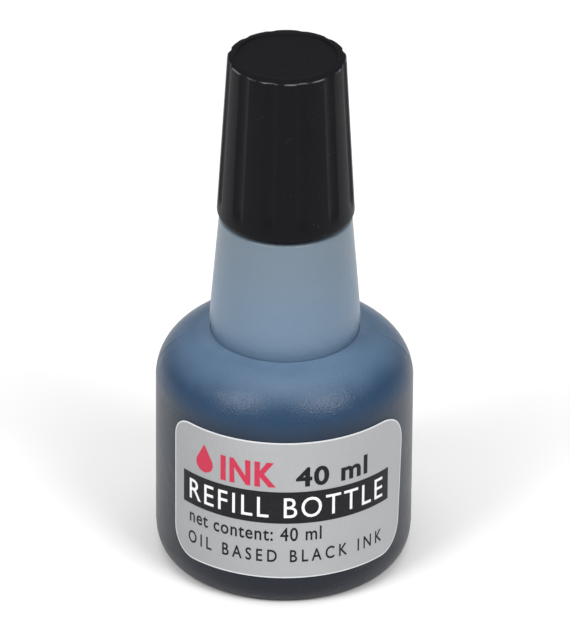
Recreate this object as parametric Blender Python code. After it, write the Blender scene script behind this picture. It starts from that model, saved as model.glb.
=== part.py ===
"""An ink bottle with a dropper plug and a tall fluted screw cap. Metres, +Z up.

The bottle stands on z = 0, its axis is the Z axis, and its label faces -Y.
Each turned outline is a list of (radius, height) points in the piece's own frame, whose
origin lies on the Z axis at the height where the piece is seated.
"""

from math import acos, atan2, cos, degrees, radians, sin, tan, tau

import bmesh
import bpy
from mathutils import Matrix, Vector

MM = 0.001

# Clearances
SEAT_GAP = 0.3 * MM  # left between pieces that touch on the real bottle
WELD = 0.001 * MM  # points closer than this are one point

# Bottle: body, heel, shoulder, neck
BODY_RADIUS = 20.0 * MM
WALL = 1.1 * MM
HEEL_WIDTH = 2.5 * MM
HEEL_HEIGHT = 4.5 * MM
PUSH_UP_RADIUS = 14.2 * MM
PUSH_UP_HEIGHT = 1.4 * MM
SHOULDER_START_Z = 30.4 * MM
SHOULDER_CENTRE_RADIUS = 9.0 * MM
SHOULDER_RISE = 8.65 * MM
CREASE_RADIUS = 11.45 * MM
NECK_LOW_RADIUS = 11.7 * MM
NECK_LOW_Z = 40.7 * MM
NECK_SWELL = 0.5 * MM
NECK_TOP_RADIUS = 10.25 * MM
LEDGE_Z = 58.4 * MM
LEDGE_ROUND = 0.3 * MM

# Bottle: finish, the threaded mouth above the ledge
FINISH_RADIUS = 7.75 * MM
FINISH_HEIGHT = 9.0 * MM
MOUTH_RADIUS = 6.0 * MM
MOUTH_DEPTH = 8.0 * MM
LIP_ROUND = 0.3 * MM

# Thread, shared by bottle and cap: eight turns to the inch, right-handed
THREAD_PITCH = 25.4 * MM / 8
THREAD_HEIGHT = 1.15 * MM
THREAD_BASE_WIDTH = 1.7 * MM
THREAD_CREST_WIDTH = 0.85 * MM
THREAD_SUNK = 0.3 * MM  # how far a thread's foot reaches into its wall
THREAD_FADE_STEPS = 4  # steps over which a thread's ends sink into the wall
BOTTLE_THREAD_START = 1.9 * MM  # above the ledge
BOTTLE_THREAD_TURNS = 1.5
CAP_THREAD_LAG = 0.5  # of a turn, from the bottle thread's start to the cap thread's
CAP_THREAD_TURNS = 1.25

# Screw cap
CAP_LEDGE_GAP = 0.4 * MM
CAP_HEIGHT = 27.2 * MM
CAP_LOW_RADIUS = 10.6 * MM
CAP_TOP_RADIUS = 9.1 * MM
CAP_LOW_ROUND = 0.9 * MM
CAP_TOP_ROUND = 0.2 * MM
CAP_RIM_DROP = 0.25 * MM  # how far the ring round the disc slopes down to the rim
CAP_DISC_RADIUS = 7.8 * MM
CAP_DISC_DEPTH = 0.2 * MM
CAP_ROOF = 1.5 * MM
CAP_THREAD_BORE = 9.25 * MM
CAP_THREAD_BORE_HEIGHT = 9.6 * MM
CAP_BORE_LOW = 8.45 * MM
CAP_BORE_TOP = 7.4 * MM
CAP_LEAD_IN = 0.35 * MM
FLUTES = 12
FLUTE_FIRST = 15.0  # degrees from the front
FLUTE_WIDTH = 2.1 * MM
FLUTE_DEPTH = 0.32 * MM
FLUTE_FOOT = 2.8 * MM  # plain band below the flutes

# Liner, the sealing disc in the cap
LINER_RADIUS = 6.9 * MM
LINER_THICKNESS = 1.3 * MM
LINER_EDGE = 0.2 * MM
LINER_BEAD = 0.4 * MM

# Dropper plug
PLUG_SKIRT_RADIUS = 5.5 * MM
PLUG_SKIRT_DEPTH = 6.0 * MM
PLUG_BEAD = 0.25 * MM
PLUG_BEAD_DEPTHS = (1.9 * MM, 4.1 * MM)
PLUG_WALL = 0.9 * MM
PLUG_FLANGE_RADIUS = 7.3 * MM
PLUG_FLANGE_THICKNESS = 1.0 * MM
NOZZLE_LOW_RADIUS = 4.7 * MM
NOZZLE_TIP_RADIUS = 1.5 * MM
NOZZLE_TIP_ROUND = 0.4 * MM
ORIFICE_RADIUS = 0.6 * MM
ORIFICE_LENGTH = 2.0 * MM

# Ink: 40 ml reach the foot of the neck
INK_LEVEL_Z = NECK_LOW_Z

# Label: angles are seen from above, from the front towards +X
LABEL_FROM = -56.5
LABEL_TO = 63.5
LABEL_RIGHT_LEAN = 0.06  # how far the right edge leans out, for each unit of height
LABEL_LOW_Z = 5.3 * MM
LABEL_TOP_Z = 29.4 * MM
LABEL_LOW_CORNER = 4.5 * MM
LABEL_TOP_LEFT_CORNER = 3.5 * MM
LABEL_TOP_RIGHT_CORNER = 6.0 * MM
LABEL_THICKNESS = 0.2 * MM
LABEL_GAP = 0.1 * MM

# Roundness
BOTTLE_SEGMENTS = 48
CAP_SEGMENTS = 48
INNER_SEGMENTS = 36
CUTTER_SEGMENTS = 24
SHARP_ANGLE = radians(35.0)

# Heights that follow from the dimensions above
MOUTH_Z = LEDGE_Z + FINISH_HEIGHT
CAP_Z = LEDGE_Z + CAP_LEDGE_GAP
CAP_ROOF_Z = CAP_HEIGHT - CAP_DISC_DEPTH - CAP_ROOF
LINER_Z = CAP_Z + CAP_ROOF_Z - SEAT_GAP - LINER_THICKNESS
PLUG_Z = MOUTH_Z + SEAT_GAP
NOZZLE_TIP_Z = LINER_Z - SEAT_GAP - PLUG_Z


def clear_scene():
    """Removes every object that the file starts with."""
    for thing in list(bpy.data.objects):
        bpy.data.objects.remove(thing, do_unlink=True)


def plastic(name, colour, roughness):
    """A dielectric finish: linear colour, and how rough it is."""
    material = bpy.data.materials.new(name)
    material.use_nodes = True
    shader = material.node_tree.nodes["Principled BSDF"]
    shader.inputs["Base Color"].default_value = (*colour, 1.0)
    shader.inputs["Roughness"].default_value = roughness
    shader.inputs["Metallic"].default_value = 0.0
    return material


def make_object(name, bm, parent, height=0.0, material=None):
    """Turns a bmesh into a smooth-shaded object whose origin is on the axis at a height."""
    mesh = bpy.data.meshes.new(name)
    bm.to_mesh(mesh)
    bm.free()
    mesh.shade_smooth()
    mesh.set_sharp_from_angle(angle=SHARP_ANGLE)
    if material:
        mesh.materials.append(material)
    thing = bpy.data.objects.new(name, mesh)
    thing.location = (0.0, 0.0, height)
    thing.parent = parent
    bpy.context.collection.objects.link(thing)
    return thing


def combine(piece, tool, operation):
    """Joins a tool to a piece, or cuts it away, and hides the tool."""
    tool.hide_render = True
    tool.display_type = "WIRE"
    boolean = piece.modifiers.new(tool.name, "BOOLEAN")
    boolean.operation = operation
    boolean.solver = "EXACT"
    boolean.object = tool


def arc(centre, reach, start, end, steps):
    """Points on an ellipse of half-axes reach, from one angle in degrees to another."""
    points = []
    for step in range(steps + 1):
        angle = radians(start + (end - start) * step / steps)
        points.append((centre[0] + reach[0] * cos(angle), centre[1] + reach[1] * sin(angle)))
    return points


def turn(outline, segments, ring=False):
    """Spins an outline about Z. A ring's outline closes on itself, others end on the axis."""
    bm = bmesh.new()
    corners = [bm.verts.new((radius, 0.0, height)) for radius, height in outline]
    ends = list(zip(corners, corners[1:]))
    if ring:
        ends.append((corners[-1], corners[0]))
    edges = [bm.edges.new(pair) for pair in ends]
    bmesh.ops.spin(
        bm,
        geom=corners + edges,
        axis=(0.0, 0.0, 1.0),
        cent=(0.0, 0.0, 0.0),
        angle=tau,
        steps=segments,
        use_merge=True,
    )
    bmesh.ops.remove_doubles(bm, verts=bm.verts, dist=WELD)
    bmesh.ops.recalc_face_normals(bm, faces=bm.faces)
    return bm


def thread(wall, direction, start_height, start_turn, turns, segments):
    """A helical ridge on a wall of some radius, facing outwards (1) or inwards (-1)."""
    steps = round(turns * segments)
    foot = wall - direction * THREAD_SUNK
    flare = (THREAD_BASE_WIDTH - THREAD_CREST_WIDTH) * THREAD_SUNK / THREAD_HEIGHT
    foot_half = (THREAD_BASE_WIDTH + flare) / 2
    crest_half = THREAD_CREST_WIDTH / 2
    buried = -THREAD_SUNK / 3

    def corners(step):
        fade = min(1.0, step / THREAD_FADE_STEPS, (steps - step) / THREAD_FADE_STEPS)
        crest = wall + direction * (buried + (THREAD_HEIGHT - buried) * fade)
        turned = Matrix.Rotation(tau * (start_turn + step / segments), 3, "Z")
        rise = start_height + THREAD_PITCH * step / segments
        section = ((foot, -foot_half), (crest, -crest_half), (crest, crest_half), (foot, foot_half))
        return [turned @ Vector((radius, 0.0, rise + lift)) for radius, lift in section]

    bm = bmesh.new()
    face = bm.faces.new([bm.verts.new(corner) for corner in corners(0)])
    for step in range(1, steps + 1):
        grown = bmesh.ops.extrude_face_region(bm, geom=[face])["geom"]
        if step > 1:
            bmesh.ops.delete(bm, geom=[face], context="FACES_ONLY")
        face = next(item for item in grown if isinstance(item, bmesh.types.BMFace))
        for vert, corner in zip(face.verts, corners(step)):
            vert.co = corner
    bmesh.ops.recalc_face_normals(bm, faces=bm.faces)
    return bm


def shoulder(wall, edge_radius, steps):
    """The shoulder's quarter ellipse, set in by a wall, from the body up to a radius at the neck."""
    reach = (BODY_RADIUS - SHOULDER_CENTRE_RADIUS - wall, SHOULDER_RISE - wall)
    last = degrees(acos((edge_radius - SHOULDER_CENTRE_RADIUS) / reach[0]))
    return arc((SHOULDER_CENTRE_RADIUS, SHOULDER_START_Z), reach, 0.0, last, steps)


def bottle_outline():
    """From the middle of the base up the outside to the mouth, then back down the inside."""
    heel = (BODY_RADIUS - HEEL_WIDTH, HEEL_HEIGHT)
    crease_z = shoulder(0.0, CREASE_RADIUS, 1)[-1][1]
    swell = (NECK_LOW_RADIUS - NECK_SWELL, NECK_LOW_Z)
    swell_angle = acos((CREASE_RADIUS - swell[0]) / NECK_SWELL)
    swell_reach = (NECK_SWELL, (NECK_LOW_Z - crease_z) / sin(swell_angle))
    ledge = (NECK_TOP_RADIUS - LEDGE_ROUND, LEDGE_Z - LEDGE_ROUND)
    lip_z = MOUTH_Z - LIP_ROUND
    outside = [
        *arc((0.0, 0.0), (PUSH_UP_RADIUS, PUSH_UP_HEIGHT), 90.0, 0.0, 4),
        *arc(heel, (HEEL_WIDTH, HEEL_HEIGHT), -90.0, 0.0, 5),
        *shoulder(0.0, CREASE_RADIUS, 8),
        *arc(swell, swell_reach, -degrees(swell_angle), 0.0, 3)[1:],
        *arc(ledge, (LEDGE_ROUND, LEDGE_ROUND), 0.0, 90.0, 2),
        (FINISH_RADIUS, LEDGE_Z),
        *arc((FINISH_RADIUS - LIP_ROUND, lip_z), (LIP_ROUND, LIP_ROUND), 0.0, 90.0, 2),
        *arc((MOUTH_RADIUS + LIP_ROUND, lip_z), (LIP_ROUND, LIP_ROUND), 90.0, 180.0, 2),
    ]
    inside = [
        (MOUTH_RADIUS, MOUTH_Z - MOUTH_DEPTH),
        (NECK_TOP_RADIUS - WALL, LEDGE_Z - 2 * WALL),
        (NECK_LOW_RADIUS - WALL, NECK_LOW_Z),
        *reversed(shoulder(WALL, CREASE_RADIUS - WALL, 6)),
        *arc(heel, (HEEL_WIDTH - WALL, HEEL_HEIGHT - WALL), 0.0, -90.0, 3),
        *arc((0.0, WALL), (PUSH_UP_RADIUS, PUSH_UP_HEIGHT), 0.0, 90.0, 3),
    ]
    return outside + inside


def make_bottle(parent):
    """The blow-moulded bottle, with its thread joined on."""
    polythene = plastic("inked_polythene", (0.070, 0.127, 0.205), 0.38)
    bottle = make_object("bottle_body", turn(bottle_outline(), BOTTLE_SEGMENTS), parent, 0.0, polythene)
    start = LEDGE_Z + BOTTLE_THREAD_START
    ridge = thread(FINISH_RADIUS, 1, start, 0.0, BOTTLE_THREAD_TURNS, BOTTLE_SEGMENTS)
    combine(bottle, make_object("bottle_thread", ridge, parent), "UNION")
    return bottle


def cap_outline():
    """From the middle of the top down the outside, then back up the inside."""
    low = (CAP_LOW_RADIUS - CAP_LOW_ROUND, CAP_LOW_ROUND)
    top = (CAP_TOP_RADIUS - CAP_TOP_ROUND, CAP_HEIGHT - CAP_RIM_DROP - CAP_TOP_ROUND)
    bead_z = LINER_Z - CAP_Z - SEAT_GAP - LINER_BEAD
    bore_slope = (CAP_BORE_LOW - CAP_BORE_TOP) / (CAP_ROOF_Z - CAP_THREAD_BORE_HEIGHT)

    def bore(height):
        return CAP_BORE_TOP + bore_slope * (CAP_ROOF_Z - height)

    return [
        (0.0, CAP_HEIGHT - CAP_DISC_DEPTH),
        (CAP_DISC_RADIUS - CAP_DISC_DEPTH, CAP_HEIGHT - CAP_DISC_DEPTH),
        (CAP_DISC_RADIUS, CAP_HEIGHT),
        *arc(top, (CAP_TOP_ROUND, CAP_TOP_ROUND), 75.0, 3.0, 3),
        *arc(low, (CAP_LOW_ROUND, CAP_LOW_ROUND), 3.0, -90.0, 3),
        (CAP_THREAD_BORE + CAP_LEAD_IN, 0.0),
        (CAP_THREAD_BORE, CAP_LEAD_IN),
        (CAP_THREAD_BORE, CAP_THREAD_BORE_HEIGHT),
        (CAP_BORE_LOW, CAP_THREAD_BORE_HEIGHT + (CAP_THREAD_BORE - CAP_BORE_LOW)),
        (bore(bead_z - LINER_BEAD), bead_z - LINER_BEAD),
        (bore(bead_z) - LINER_BEAD, bead_z),
        (bore(bead_z + LINER_BEAD), bead_z + LINER_BEAD),
        (CAP_BORE_TOP, CAP_ROOF_Z),
        (0.0, CAP_ROOF_Z),
    ]


def flute_cutters():
    """Round rods that lean with the cap's side and end in balls, one for each flute."""
    rod_radius = (FLUTE_WIDTH**2 / 4 + FLUTE_DEPTH**2) / (2 * FLUTE_DEPTH)
    lean = atan2(CAP_LOW_RADIUS - CAP_TOP_RADIUS, CAP_HEIGHT)
    foot = FLUTE_FOOT + FLUTE_WIDTH / 2
    rod = [
        *arc((0.0, 0.0), (rod_radius, rod_radius), -90.0, 0.0, 5),
        (rod_radius, CAP_HEIGHT),
        (0.0, CAP_HEIGHT),
    ]
    away = CAP_LOW_RADIUS - foot * tan(lean) + rod_radius - FLUTE_DEPTH
    to_side = Matrix.Translation((away, 0.0, foot)) @ Matrix.Rotation(-lean, 4, "Y")
    cutters = bmesh.new()
    for flute in range(FLUTES):
        one = turn(rod, CUTTER_SEGMENTS)
        angle = radians(FLUTE_FIRST - 90.0 + flute * 360.0 / FLUTES)
        bmesh.ops.transform(one, matrix=Matrix.Rotation(angle, 4, "Z") @ to_side, verts=one.verts)
        mesh = bpy.data.meshes.new("flute")
        one.to_mesh(mesh)
        one.free()
        cutters.from_mesh(mesh)
        bpy.data.meshes.remove(mesh)
    return cutters


def make_cap(parent):
    """The tall screw cap: fluted outside, threaded inside its skirt."""
    black = plastic("black_polypropylene", (0.012, 0.013, 0.015), 0.34)
    cap = make_object("screw_cap", turn(cap_outline(), CAP_SEGMENTS), parent, CAP_Z, black)
    between_bottle_turns = THREAD_PITCH / 2
    start = BOTTLE_THREAD_START - CAP_LEDGE_GAP - between_bottle_turns + THREAD_PITCH * CAP_THREAD_LAG
    ridge = thread(CAP_THREAD_BORE, -1, start, CAP_THREAD_LAG, CAP_THREAD_TURNS, CAP_SEGMENTS)
    combine(cap, make_object("cap_thread", ridge, parent, CAP_Z), "UNION")
    combine(cap, make_object("flute_cutters", flute_cutters(), parent, CAP_Z), "DIFFERENCE")
    return cap


def make_liner(parent):
    """The foam disc under the cap's roof, which closes the nozzle."""
    foam = plastic("white_foam", (0.78, 0.77, 0.74), 0.7)
    top = LINER_THICKNESS - LINER_EDGE
    outline = [
        (0.0, 0.0),
        (LINER_RADIUS - LINER_EDGE, 0.0),
        (LINER_RADIUS, LINER_EDGE),
        (LINER_RADIUS, top),
        (LINER_RADIUS - LINER_EDGE, LINER_THICKNESS),
        (0.0, LINER_THICKNESS),
    ]
    return make_object("cap_liner", turn(outline, INNER_SEGMENTS), parent, LINER_Z, foam)


def make_plug(parent):
    """The dropper plug: a skirt in the mouth, a flange on the rim, and a hollow nozzle."""
    natural = plastic("natural_polythene", (0.62, 0.66, 0.68), 0.42)
    skirt_end = -(PLUG_SKIRT_DEPTH + SEAT_GAP)
    outside = [
        (PLUG_SKIRT_RADIUS - PLUG_WALL / 2, skirt_end),
        (PLUG_SKIRT_RADIUS, skirt_end + PLUG_WALL / 2),
    ]
    for depth in sorted(PLUG_BEAD_DEPTHS, reverse=True):
        outside += [
            (PLUG_SKIRT_RADIUS, -depth - PLUG_BEAD * 2),
            (PLUG_SKIRT_RADIUS + PLUG_BEAD, -depth),
            (PLUG_SKIRT_RADIUS, -depth + PLUG_BEAD * 2),
        ]
    tip = (NOZZLE_TIP_RADIUS - NOZZLE_TIP_ROUND, NOZZLE_TIP_Z - NOZZLE_TIP_ROUND)
    outside += [
        (PLUG_SKIRT_RADIUS, 0.0),
        (PLUG_FLANGE_RADIUS, 0.0),
        (PLUG_FLANGE_RADIUS, PLUG_FLANGE_THICKNESS),
        (NOZZLE_LOW_RADIUS, PLUG_FLANGE_THICKNESS),
        *arc(tip, (NOZZLE_TIP_ROUND, NOZZLE_TIP_ROUND), 10.0, 90.0, 2),
    ]
    inside = [
        (ORIFICE_RADIUS, NOZZLE_TIP_Z),
        (ORIFICE_RADIUS, NOZZLE_TIP_Z - ORIFICE_LENGTH),
        (NOZZLE_LOW_RADIUS - PLUG_WALL, PLUG_FLANGE_THICKNESS),
        (PLUG_SKIRT_RADIUS - PLUG_WALL, 0.0),
        (PLUG_SKIRT_RADIUS - PLUG_WALL, skirt_end),
    ]
    turned = turn(outside + inside, INNER_SEGMENTS, ring=True)
    return make_object("dropper_plug", turned, parent, PLUG_Z, natural)


def make_ink(parent):
    """The ink, filled to just above the crease."""
    blue_black = plastic("ink", (0.008, 0.014, 0.035), 0.1)
    inset = WALL + SEAT_GAP
    heel = (BODY_RADIUS - HEEL_WIDTH, HEEL_HEIGHT)
    outline = [
        *arc((0.0, inset), (PUSH_UP_RADIUS, PUSH_UP_HEIGHT), 90.0, 0.0, 3),
        *arc(heel, (HEEL_WIDTH - inset, HEEL_HEIGHT - inset), -90.0, 0.0, 3),
        *shoulder(inset, CREASE_RADIUS - inset, 5),
        (NECK_LOW_RADIUS - inset, INK_LEVEL_Z),
        (0.0, INK_LEVEL_Z),
    ]
    return make_object("ink_fill", turn(outline, BOTTLE_SEGMENTS), parent, 0.0, blue_black)


def label_outline():
    """The flat label: distance round the body from the front, and height."""
    left = radians(LABEL_FROM) * BODY_RADIUS
    right = radians(LABEL_TO) * BODY_RADIUS
    corners = (
        (left, LABEL_LOW_Z, 1, 1, LABEL_LOW_CORNER, 180.0),
        (right, LABEL_LOW_Z, -1, 1, LABEL_LOW_CORNER, 270.0),
        (right, LABEL_TOP_Z, -1, -1, LABEL_TOP_RIGHT_CORNER, 0.0),
        (left, LABEL_TOP_Z, 1, -1, LABEL_TOP_LEFT_CORNER, 90.0),
    )
    upright = []
    for across, up, inwards, upwards, radius, start in corners:
        centre = (across + inwards * radius, up + upwards * radius)
        upright += arc(centre, (radius, radius), start, start + 90.0, 4)
    middle = (LABEL_LOW_Z + LABEL_TOP_Z) / 2
    outline = []
    for across, up in upright:
        share = (across - left) / (right - left)
        outline.append((across + LABEL_RIGHT_LEAN * share * (up - middle), up))
    return outline


def make_label(parent):
    """The label: a flat outline creased at the body's facets, rolled round it and given thickness."""
    silver = plastic("silver_label", (0.50, 0.51, 0.52), 0.45)
    bm = bmesh.new()
    bm.faces.new([bm.verts.new((across, 0.0, up)) for across, up in label_outline()])
    facet = tau * BODY_RADIUS / BOTTLE_SEGMENTS
    for crease in range(-BOTTLE_SEGMENTS // 4, BOTTLE_SEGMENTS // 4 + 1):
        everything = bm.verts[:] + bm.edges[:] + bm.faces[:]
        across = (crease * facet, 0.0, 0.0)
        bmesh.ops.bisect_plane(bm, geom=everything, plane_co=across, plane_no=(1.0, 0.0, 0.0))
    radius = BODY_RADIUS + LABEL_GAP
    for vert in bm.verts:
        angle = vert.co.x / BODY_RADIUS
        vert.co = Vector((radius * sin(angle), -radius * cos(angle), vert.co.z))
    label = make_object("front_label", bm, parent, 0.0, silver)
    solidify = label.modifiers.new("thickness", "SOLIDIFY")
    solidify.thickness = LABEL_THICKNESS
    solidify.offset = 1.0
    return label


def main():
    clear_scene()
    assembly = bpy.data.objects.new("ink_bottle", None)
    bpy.context.collection.objects.link(assembly)
    make_bottle(assembly)
    make_ink(assembly)
    make_plug(assembly)
    make_liner(assembly)
    make_cap(assembly)
    make_label(assembly)


main()
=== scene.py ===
# %% [markdown]
# # An ink bottle, piece by piece
#
# This lesson dresses a small squeezable ink bottle: a soft polythene bottle full of blue-black
# ink, a dropper plug in its mouth, a tall fluted cap, and a silver label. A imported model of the
# bottle already holds every real size, so the first step loads it. From then on each cell
# reads its positions from that frame and only makes things look right.

from math import acos, atan2, cos, degrees, radians, sin, sqrt, tau

import bmesh
import bpy
from mathutils import Matrix, Vector


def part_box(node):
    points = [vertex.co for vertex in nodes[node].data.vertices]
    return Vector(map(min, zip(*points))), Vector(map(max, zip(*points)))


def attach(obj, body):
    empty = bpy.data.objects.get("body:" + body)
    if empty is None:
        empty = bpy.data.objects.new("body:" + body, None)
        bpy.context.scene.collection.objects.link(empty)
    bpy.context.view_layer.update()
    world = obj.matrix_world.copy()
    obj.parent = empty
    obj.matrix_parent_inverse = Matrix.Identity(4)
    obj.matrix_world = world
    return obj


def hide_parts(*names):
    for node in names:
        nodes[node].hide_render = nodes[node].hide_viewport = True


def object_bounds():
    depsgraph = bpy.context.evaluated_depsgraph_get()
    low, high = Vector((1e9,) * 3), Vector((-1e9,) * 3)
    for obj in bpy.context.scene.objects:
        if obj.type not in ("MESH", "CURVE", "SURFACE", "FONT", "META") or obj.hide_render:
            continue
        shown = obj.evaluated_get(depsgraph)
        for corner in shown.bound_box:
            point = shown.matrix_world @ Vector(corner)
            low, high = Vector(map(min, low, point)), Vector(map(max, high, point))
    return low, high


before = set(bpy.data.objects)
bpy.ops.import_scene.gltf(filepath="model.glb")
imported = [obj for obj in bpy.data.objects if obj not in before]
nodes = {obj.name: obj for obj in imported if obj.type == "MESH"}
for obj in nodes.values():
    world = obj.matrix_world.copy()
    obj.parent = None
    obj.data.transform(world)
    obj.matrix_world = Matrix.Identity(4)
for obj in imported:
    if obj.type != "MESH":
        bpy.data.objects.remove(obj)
cad_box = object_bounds()
MM = 0.001
print("frame loaded:", sorted(nodes))

# %% [markdown]
# ## Camera
#
# The camera stands well back and looks down by about thirty degrees. A long lens from far away
# keeps the bottle's sides nearly parallel, which suits so small an object. The camera also leans
# by a fraction of a degree, so it gets its roll after it has been aimed.

# %% Camera
BOTTLE_HEIGHT = cad_box[1].z
CAMERA_DISTANCE = 1.30
CAMERA_ELEVATION = radians(29.47)
CAMERA_ROLL = radians(0.415)
AIM_SHARE = 0.473  # of the bottle's height
SENSOR = 36.0
LENS = 480.1
NEAREST, FARTHEST = 0.01, 20.0

aim = Vector((0.0, 0.0, AIM_SHARE * BOTTLE_HEIGHT))
back = Vector((0.0, -cos(CAMERA_ELEVATION), sin(CAMERA_ELEVATION)))
camera_data = bpy.data.cameras.new("camera")
camera_data.lens = LENS
camera_data.sensor_width = SENSOR
camera_data.clip_start = NEAREST
camera_data.clip_end = FARTHEST
camera = bpy.data.objects.new("camera", camera_data)
camera.rotation_mode = "QUATERNION"
camera.location = aim + CAMERA_DISTANCE * back
looking = (-back).to_track_quat("-Z", "Y")
camera.rotation_quaternion = looking @ Matrix.Rotation(CAMERA_ROLL, 4, "Z").to_quaternion()
bpy.context.collection.objects.link(camera)
bpy.context.scene.camera = camera
print("camera aims at height", round(aim.z / MM, 1), "mm")

# %% [markdown]
# ## Studio
#
# Round glossy things look best in soft light from the sides. Two tall boxes stand left and
# right, a little in front of the bottle, and leave the pair of highlights on its shoulder. A wide
# box overhead lights the upward faces, and the pale sky fills the rest. The standard view
# transform shows colours as they are given, so a mid blue stays that mid blue.

# %% Studio
FLOOR_SIZE = 6.0
SKY_COLOUR = (1.0, 1.0, 1.0, 1.0)
SKY_STRENGTH = 0.32

world = bpy.data.worlds.new("pale_sky")
world.use_nodes = True
world.node_tree.nodes["Background"].inputs["Color"].default_value = SKY_COLOUR
world.node_tree.nodes["Background"].inputs["Strength"].default_value = SKY_STRENGTH
bpy.context.scene.world = world
bpy.context.scene.view_settings.view_transform = "Standard"


def soft_box(name, azimuth, elevation, distance, size, power):
    """A rectangular light that faces the bottle; azimuth 0 is the front, 90 the right."""
    light = bpy.data.lights.new(name, "AREA")
    light.shape = "RECTANGLE"
    light.size, light.size_y = size
    light.energy = power
    box = bpy.data.objects.new(name, light)
    turn, lift = radians(azimuth), radians(elevation)
    away = Vector((sin(turn) * cos(lift), -cos(turn) * cos(lift), sin(lift)))
    box.location = aim + distance * away
    box.rotation_mode = "QUATERNION"
    box.rotation_quaternion = (-away).to_track_quat("-Z", "Y")
    bpy.context.collection.objects.link(box)


soft_box("left_box", azimuth=-48.0, elevation=41.0, distance=0.9, size=(0.38, 0.46), power=4.9)
soft_box("right_box", azimuth=43.0, elevation=42.0, distance=0.9, size=(0.40, 0.44), power=5.2)
soft_box("top_box", azimuth=0.0, elevation=88.0, distance=1.0, size=(0.9, 0.9), power=6.0)

# %% [markdown]
# ## Shader maths
#
# Most of the finishes below are small sums: a height divided by a length, a mask times a colour.
# Wiring Math nodes by hand hides such a sum, so `Wire` wraps one socket and lets Python's own
# operators add the nodes. The reflected forms make sums such as `1 - mask` work as well.


# %% Wires
class Wire:
    """An output socket that Python's operators can calculate with."""

    def __init__(self, finish, socket):
        self.finish = finish
        self.socket = socket

    def math(self, operation, left, right):
        """A Math node; each side of it is a wire or a number."""
        return self.finish.node("ShaderNodeMath", {"operation": operation}, {0: left, 1: right})

    def __add__(self, other):
        return self.math("ADD", self, other)

    def __radd__(self, other):
        return self + other

    def __sub__(self, other):
        return self.math("SUBTRACT", self, other)

    def __rsub__(self, other):
        return self.math("SUBTRACT", other, self)

    def __mul__(self, other):
        return self.math("MULTIPLY", self, other)

    def __rmul__(self, other):
        return self * other

    def __truediv__(self, other):
        return self.math("DIVIDE", self, other)

    def __rtruediv__(self, other):
        return self.math("DIVIDE", other, self)

    def __pow__(self, other):
        return self.math("POWER", self, other)

    def __rpow__(self, other):
        return self.math("POWER", other, self)

    def rises(self, low, high):
        """0 below low, 1 above high, and a smooth slope between; it falls if high is the lower."""
        sockets = {"Value": self, "From Min": min(low, high), "From Max": max(low, high)}
        if low > high:
            sockets |= {"To Min": 1.0, "To Max": 0.0}
        return self.finish.node("ShaderNodeMapRange", {"interpolation_type": "SMOOTHSTEP"}, sockets)


print("wires add, subtract, multiply, divide, and take powers")

# %% [markdown]
# ## Finishes
#
# A finish is what covers a piece: soft plastic, film, or ink. `Finish` is a material under
# construction. It knows the place on the piece in object coordinates, so a pattern keeps its
# real size and never slides, and its one method `node` adds any node that isn't a sum.


# %% Finishes
class Finish:
    """A Principled material under construction."""

    def __init__(self, name, **constants):
        self.material = bpy.data.materials.new(name)
        self.material.use_nodes = True
        self.tree = self.material.node_tree
        self.shader = self.tree.nodes["Principled BSDF"]
        for socket, value in constants.items():
            self.shader.inputs[socket.replace("_", " ")].default_value = value
        self.place = self.node("ShaderNodeTexCoord", out="Object")
        self.x, self.y, self.z = (
            self.node("ShaderNodeSeparateXYZ", None, {0: self.place}, out=axis) for axis in "XYZ"
        )

    def feed(self, socket, value):
        """Links a wire to a socket, or sets the socket's own value."""
        if isinstance(value, Wire):
            self.tree.links.new(value.socket, socket)
        else:
            socket.default_value = value

    def node(self, kind, settings=None, sockets=None, out=0):
        """Adds a node: its settings first, then its sockets' values or wires."""
        made = self.tree.nodes.new(kind)
        for key, value in (settings or {}).items():
            if key == "stops":
                self.set_stops(made.color_ramp, value)
            else:
                setattr(made, key, value)
        for key, value in (sockets or {}).items():
            self.feed(made.inputs[key], value)
        return Wire(self, made.outputs[out])

    def set_stops(self, ramp, stops):
        """Gives a colour ramp its (place, colour) stops."""
        ramp.interpolation = "EASE"
        while len(ramp.elements) < len(stops):
            ramp.elements.new(0.5)
        for element, (place, colour) in zip(ramp.elements, stops):
            element.position = place
            element.color = (*colour, 1.0)

    def noise(self, size, detail=2.0, at=None):
        """Cloudy noise whose patches are about this many metres across."""
        sockets = {"Vector": at or self.place, "Scale": 1.0 / size, "Detail": detail}
        return self.node("ShaderNodeTexNoise", None, sockets)

    def stretched(self, scale):
        """Object coordinates scaled differently along each axis."""
        return self.node("ShaderNodeMapping", None, {"Vector": self.place, "Scale": scale})

    def off_axis(self):
        """The distance from the bottle's axis."""
        return (self.x * self.x + self.y * self.y) ** 0.5

    def mix(self, share, below, above):
        """A blend of two colours."""
        below, above = ((*c, 1.0) if isinstance(c, tuple) else c for c in (below, above))
        sockets = {0: share, 6: below, 7: above}
        return self.node("ShaderNodeMix", {"data_type": "RGBA"}, sockets, out=2)

    def set(self, name, value):
        """Feeds one of the shader's own sockets."""
        self.feed(self.shader.inputs[name], value)

    def bump(self, height, depth):
        """Relief this many metres deep on the shader's normal."""
        sockets = {"Height": height, "Distance": depth, "Strength": 1.0}
        self.set("Normal", self.node("ShaderNodeBump", None, sockets))


print("a finish can be clouded, stretched, mixed and bumped")

# %% [markdown]
# ## Outlines
#
# Bottle, plug, cap and liner are all round, so each starts as an outline of radius and height.
# Moulded corners are arcs, and an outline made of arcs needs few numbers. Long straight runs are
# divided, because evenly sized faces shade better and can be bent later.

# %% Outlines
WELD = 0.0005 * MM


def arc(centre, reach, start, end, steps):
    """Points on an ellipse of half-axes reach, from one angle in degrees to another."""
    points = []
    for step in range(steps + 1):
        angle = radians(start + (end - start) * step / steps)
        points.append((centre[0] + reach[0] * cos(angle), centre[1] + reach[1] * sin(angle)))
    return points


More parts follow.
